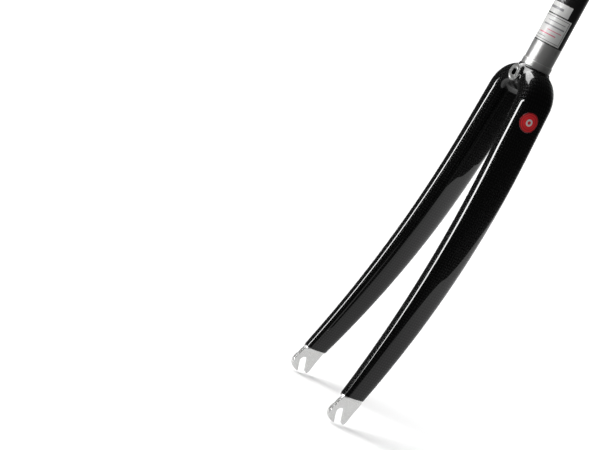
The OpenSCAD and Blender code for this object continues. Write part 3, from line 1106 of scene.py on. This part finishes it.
@dataclass
class Badge:
    """Round badge that follows the outer face of the left blade.

    Its rings lie at shares of its radius and stand at shares of its thickness, over the face and
    back under it.
    """

    law: ForkLaw
    centre_x: float = 3.0
    centre_z: float = -46.0
    radius: float = 9.75
    thick: float = 0.4
    sides: int = 128
    ring_shares: tuple = (0.02, 0.2, 0.4, 0.6, 0.75, 0.85, 0.92, 0.965, 0.99, 1.0,
                          1.0, 0.9, 0.5, 0.02)
    lift_shares: tuple = (1, 1, 1, 1, 1, 1, 1, 0.93, 0.75, 0.45, 0.04, 0.03, 0.03, 0.03)

    def face_y(self, x: Array, z: Array) -> Array:
        """Y of the blade's outer face above a point of the side view.

        The section at height h holds x = cx + a k cos w and v = b k sin w, so v is
        b (1 - |(x - cx) / a|^p)^(1/p). The height h is z less v sin(splay), found in four rounds.
        """
        law = self.law
        h = np.array(z, float)
        for _ in range(4):
            cx, cy, a, b = law.blade(h)
            v = b * np.maximum(0, 1 - np.abs((x - cx) / a) ** law.power) ** (1 / law.power)
            h = z - v * math.sin(law.splay)
        return cy + v * math.cos(law.splay)

    def build(self) -> None:
        """Lay rings of the badge on the blade, domed at the rim, and dress it."""
        share, lift = (np.array(row)[:, None] for row in (self.ring_shares, self.lift_shares))
        w = angles(self.sides)
        x = self.centre_x + self.radius * share * np.cos(w)
        z = self.centre_z + self.radius * share * np.sin(w)
        piece = solid("round_badge", np.stack([x, self.face_y(x, z) + lift * self.thick, z], -1))
        finish = BadgePrint(self.centre_x, self.centre_z, self.radius)
        dress(piece, finish.material(), ["left_badge"], crease=60)


@dataclass
class SteererLabel:
    """Foil label wrapped round the steerer."""

    name: str
    low_z: float
    height: float
    edge_deg: float
    frame_line: bool
    bars: tuple
    span_deg: float = 150.0
    thick: float = 0.02
    columns: int = 97
    corner_steps: int = 4
    corner_r: tuple = (0.002, 0.008, 0.008, 0.002)

    def build(self) -> None:
        """Carry the label's thin rounded section round the tube, close its ends and dress it.

        U runs to the right as the label is read from outside, and V up from its lower edge.
        """
        outer_r, high_z = STEERER_R + self.thick, self.low_z + self.height
        profile = rounded([[STEERER_R, self.low_z], [outer_r, self.low_z], [outer_r, high_z],
                           [STEERER_R, high_z]], self.corner_r, self.corner_steps)
        w = np.radians(np.linspace(self.edge_deg - self.span_deg, self.edge_deg, self.columns))
        w = w[:, None]
        r, h = profile[:, 0][None], profile[:, 1][None] + 0 * w
        grid = np.stack([r * np.cos(w), r * np.sin(w), h], axis=-1)
        uv = np.stack([(w - w[0]) * STEERER_R + 0 * r, h - self.low_z], axis=-1)
        piece = solid(f"{self.name}_band", grid, uv=np.concatenate([uv, uv[:, :1]], axis=1))
        finish = LabelPrint(f"{self.name}_label_print", math.radians(self.span_deg) * STEERER_R,
                            self.height, self.frame_line, self.bars)
        dress(piece, finish.material(), [f"{self.name}_label"], crease=40)


def dress(piece: Piece, material: Material, nodes: list, crease: float) -> None:
    """Shade a piece, give it its material and say what it rides on and stands for.

    Args:
        piece: the finished piece.
        material: its only material.
        nodes: CAD nodes that it replaces.
        crease: angle between faces, in degrees, above which their edge is sharp.
    """
    smooth_shaded(piece, crease)
    piece.data.materials.clear()
    piece.data.materials.append(material)
    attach(piece, "root")
    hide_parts(*nodes)
    log.info("%s: %d faces, for %s", piece.name, len(piece.data.polygons), ", ".join(nodes))


# ---------------------------------------------------------------- studio


def heading(azimuth: float, elevation: float) -> Array:
    """Direction at an azimuth from X towards Y and an elevation, both in radians."""
    return np.array([math.cos(elevation) * math.cos(azimuth),
                     math.cos(elevation) * math.sin(azimuth), math.sin(elevation)])


@dataclass(frozen=True)
class View:
    """The photograph's view, with places and focal length in pixels and angles in radians."""

    focal: float = 1350.5303
    distance: float = 1320.1394
    azimuth: float = 0.9778
    elevation: float = 0.0338
    roll: float = -0.4894
    origin_at: tuple = (534.8758, 68.3781)
    frame: tuple = (600.0, 450.0)
    sensor: float = 36.0
    clips: tuple = (0.05, 200.0)

    def place(self) -> None:
        """Set the camera, rolled as the photograph shows the fork.

        The view direction, the steerer origin's pixel, the focal length in pixels and the roll
        give the camera's right, down and forward axes.
        """
        towards = heading(self.azimuth, self.elevation)
        ahead = -towards
        right = np.cross(ahead, [0.0, 0.0, 1.0])
        right /= np.linalg.norm(right)
        down = np.cross(ahead, right)
        turn_cos, turn_sin = math.cos(self.roll), math.sin(self.roll)
        right, down = turn_cos * right + turn_sin * down, turn_cos * down - turn_sin * right
        # the origin's ray is turned onto the optical axis, about the line at right angles to both
        ray = np.array([*((at - size / 2) / self.focal
                          for at, size in zip(self.origin_at, self.frame)), 1.0])
        ray /= np.linalg.norm(ray)
        axis = np.cross([0.0, 0.0, 1.0], ray)
        k = np.array([[0, -axis[2], axis[1]], [axis[2], 0, -axis[0]], [-axis[1], axis[0], 0]])
        aim = np.eye(3) + k + k @ k * ((1 - ray[2]) / (axis @ axis))
        rows = aim @ np.array([right, down, ahead])
        turn = Matrix([[rows[0][i], -rows[1][i], -rows[2][i]] for i in range(3)]).to_4x4()
        data = bpy.data.cameras.new("view")
        data.sensor_width, data.lens = self.sensor, self.focal * self.sensor / self.frame[0]
        data.clip_start, data.clip_end = self.clips
        camera = bpy.data.objects.new("view", data)
        bpy.context.scene.collection.objects.link(camera)
        camera.matrix_world = Matrix.Translation(towards * self.distance * MM) @ turn
        bpy.context.scene.camera = camera


@dataclass(frozen=True)
class Card:
    """Bright card far away in the studio, with its place, half sizes and lean in degrees."""

    azimuth: float
    elevation: float
    half_width: float
    half_height: float
    power: float
    soft: float = 0.12
    lean: float = 0.0

    def axes(self) -> tuple[Array, Array, Array]:
        """Directions towards the card, along its width and along its height."""
        a, turn = math.radians(self.azimuth), math.radians(self.lean)
        out = heading(a, math.radians(self.elevation))
        wide = np.array([-math.sin(a), math.cos(a), 0.0])
        high = np.cross(out, wide)
        return (out, wide * math.cos(turn) + high * math.sin(turn),
                high * math.cos(turn) - wide * math.sin(turn))

    def light(self, r: Nodes, way: Socket) -> Socket:
        """Light of the card: 1 inside its rectangle as seen from the object, fading at its edge."""
        def along(axis: Array) -> Socket:
            """Dot product of the direction with an axis."""
            node = r.add("VectorMath")
            node.operation = "DOT_PRODUCT"
            r.feed(node.inputs[0], way)
            node.inputs[1].default_value = tuple(axis)
            return node.outputs["Value"]

        out, wide, high = self.axes()
        ahead = along(out)
        safe = r.math("MAXIMUM", ahead, 0.01)
        mask = r.step(ahead, 0.0, 0.05)
        for axis, half in ((wide, self.half_width), (high, self.half_height)):
            limit = math.tan(math.radians(half))
            off = r.size(r.math("DIVIDE", along(axis), safe))
            mask = r.times(mask, r.step(off, limit * (1 + self.soft), limit * (1 - self.soft)))
        return r.times(mask, self.power)


@dataclass(frozen=True)
class Lamp:
    """Far soft lamp that lights evenly and leaves gloss to the cards, with angles in degrees.

    It fills its spread in the sky, which softens its shadows.
    """

    name: str
    azimuth: float
    elevation: float
    spread: float
    power: float

    def hang(self) -> None:
        """Hang the lamp."""
        light = bpy.data.lights.new(self.name, "SUN")
        light.angle, light.energy = math.radians(self.spread), self.power
        lamp = bpy.data.objects.new(self.name, light)
        bpy.context.scene.collection.objects.link(lamp)
        lamp.rotation_euler = (0.0, math.radians(90.0 - self.elevation), math.radians(self.azimuth))
        lamp.visible_glossy = False
        lamp.visible_camera = False


@dataclass
class Studio:
    """White floor, camera at the photograph's angle, cards for gloss and lamps for the rest."""

    law: ForkLaw
    view: View = View()
    floor_z: float = -387.2
    floor_t: float = 4.0
    floor_greys: tuple = (0.89, 0.91)
    disc_shares: tuple = (0.0001, 0.003, 0.01, 0.03, 0.1, 0.3, 1.0)
    wide_r: float = 45000.0
    bounce_r: float = 380.0
    bounce_drop: float = 0.5
    room: float = 0.03
    white: float = 1.3
    cards: tuple = (
        Card(-54.2, 53.1, 29.4, 20.9, 9.0, lean=-38.6),
        Card(-8.0, -0.92, 28.0, 2.0, 23.0, lean=13.9, soft=0.15),
        Card(200.0, 4.0, 14.0, 30.0, 0.35, soft=0.3),
    )
    lamps: tuple = (
        Lamp("key", -14.0, 32.0, 36.0, 3.5),
        Lamp("sky", 0.0, 88.0, 100.0, 2.1),
        Lamp("fill", 80.0, 20.0, 60.0, 0.3),
    )
    # white sheet that only gloss sees, tilted as the ground lies when the fork leans on its tips
    sheet: tuple = ((-691, -1612, 138), (1175, -1581, -1152), (1122, 1619, -1152),
                    (555, 1610, -760), (-244, 166, -191))
    sheet_t: float = 2.0
    sheet_glow: float = 1.18
    # light of the sheet, near the tips and far from them, and where it changes; the dimmer glow
    # near the tips is a painted shadow of the fork
    sheet_painted_shadow: tuple = (0.55, 1.0)
    sheet_grain: tuple = (0.92, 1.0)
    sheet_fade: tuple = (80.0, 360.0)

    def background(self) -> None:
        """Set the world: white for the camera, cards in a dim room for gloss alone."""
        world = bpy.data.worlds.new("studio")
        bpy.context.scene.world = world
        world.use_nodes = True
        world.node_tree.nodes.clear()
        r = Nodes(world.node_tree)
        way = r.coordinates("Generated")
        total: object = self.room
        for card in self.cards:
            total = r.plus(total, card.light(r, way))
        pick = r.add("MixShader", Fac=r.add("LightPath").outputs["Is Camera Ray"])
        for socket, strength in zip(pick.inputs[1:], (total, self.white)):
            r.feed(socket, r.add("Background", Color=grey(1.0), Strength=strength).outputs[0])
        r.add("OutputWorld", Surface=pick.outputs[0])
        world.cycles_visibility.diffuse = False
        world.cycles.sampling_method = "MANUAL"
        world.cycles.sample_map_resolution = 1024

    def floor(self, name: str, reach: float, lift: float) -> Piece:
        """Lay a pale disc whose rings widen outwards.

        Args:
            name: name of the disc.
            reach: its radius.
            lift: its height over the floor.

        Returns:
            The disc, which gloss doesn't see.
        """
        radii = reach * np.array(self.disc_shares)
        grid = rings(radii, 0 * radii + self.floor_z + lift, ROUND_SIDES)
        under = grid[::-1] - np.array([0, 0, self.floor_t])
        piece = solid(name, np.concatenate([grid, under]))
        smooth_shaded(piece, 20)
        recipe = Recipe("floor_white")
        grain = recipe.noise(recipe.coordinates(), 3.0, 2.0)
        recipe.set(Base_Color=recipe.blend(grain, *(grey(value) for value in self.floor_greys)),
                   Roughness=0.9, Specular_IOR_Level=0.0)
        piece.data.materials.append(recipe.material)
        piece.visible_glossy = False
        return piece

    def white_sheet(self) -> None:
        """Hang the white sheet, a thin glowing slab that shows in gloss and casts no shadow; its
        glow is dimmer near the tips, a painted shadow of the fork.
        """
        top = np.array(self.sheet, float)
        normal = np.cross(top[1] - top[0], top[2] - top[0])
        normal /= -np.linalg.norm(normal) * math.copysign(1.0, normal[2])
        piece = solid("studio_sheet", np.stack([top, top + self.sheet_t * normal]))
        smooth_shaded(piece, 20)
        recipe = Recipe("sheet_white")
        place = recipe.coordinates()
        x, _, z = recipe.parts(place)
        # the glow dims near the tips: a painted shadow of the fork on the sheet
        away = recipe.reach(recipe.minus(x, self.law.rake * MM),
                            recipe.plus(z, self.law.axle_drop * MM))
        near = recipe.step(away, *(reach * MM for reach in self.sheet_fade))
        lit = recipe.times(recipe.span(recipe.noise(place, 2.0, 2.0), *self.sheet_grain),
                           recipe.span(near, *self.sheet_painted_shadow))
        recipe.set(Base_Color=grey(0.0), Roughness=1.0, Specular_IOR_Level=0.0,
                   Emission_Color=recipe.blend(lit, grey(0.0), grey(1.0)),
                   Emission_Strength=self.sheet_glow)
        piece.data.materials.append(recipe.material)
        piece.visible_camera = piece.visible_diffuse = piece.visible_shadow = False

    def build(self) -> None:
        """Put up the whole studio.

        The camera sees the wide floor, and the near disc just under it throws light up at the
        tips.
        """
        self.view.place()
        self.background()
        wide = self.floor("studio_floor", self.wide_r, 0.0)
        wide.visible_diffuse = wide.visible_shadow = False
        bounce = self.floor("studio_bounce", self.bounce_r, -self.bounce_drop)
        bounce.visible_camera = bounce.visible_shadow = False
        self.white_sheet()
        for lamp in self.lamps:
            lamp.hang()
        view = bpy.context.scene.view_settings
        view.view_transform, view.look = "Standard", "None"
        view.exposure, view.gamma = 0.0, 1.0


def main() -> None:
    """Build the studio and every piece of the fork, in order."""
    logging.basicConfig(level=logging.INFO, format="%(name)s %(message)s")
    law = ForkLaw()
    ink, rose = (0.25, 0.25, 0.26), (0.62, 0.12, 0.2)
    lower_bars = ((14.0, 33.0, 20.4, 21.2, ink), (10.0, 34.0, 15.6, 17.0, ink),
                  (18.0, 33.0, 11.6, 12.3, rose), (10.0, 29.0, 7.4, 8.4, rose),
                  (8.0, 20.0, 4.2, 4.9, ink))
    upper_bars = ((8.0, 30.0, 4.4, 6.8, ink),)
    for part in (
        Studio(law),
        CarbonMoulding(law),
        CrownBase(),
        SteererTube(),
        BrakeBush("front_bush", "front_brake_bush", face_x=19.4, flange_r=8.5, hole_r=3.05),
        BrakeBush("rear_bush", "rear_brake_bush", face_x=18.0, flange_r=6.75, hole_r=4.05,
                  turn=-1),
        Dropout(law, Side.LEFT, "left_dropout"),
        Dropout(law, Side.RIGHT, "right_dropout"),
        Badge(law),
        SteererLabel("lower", low_z=26.6, height=26.5, edge_deg=102.0, frame_line=True,
                     bars=lower_bars),
        SteererLabel("upper", low_z=54.3, height=11.2, edge_deg=78.0, frame_line=False,
                     bars=upper_bars),
    ):
        part.build()


if __name__ == "__main__":
    main()
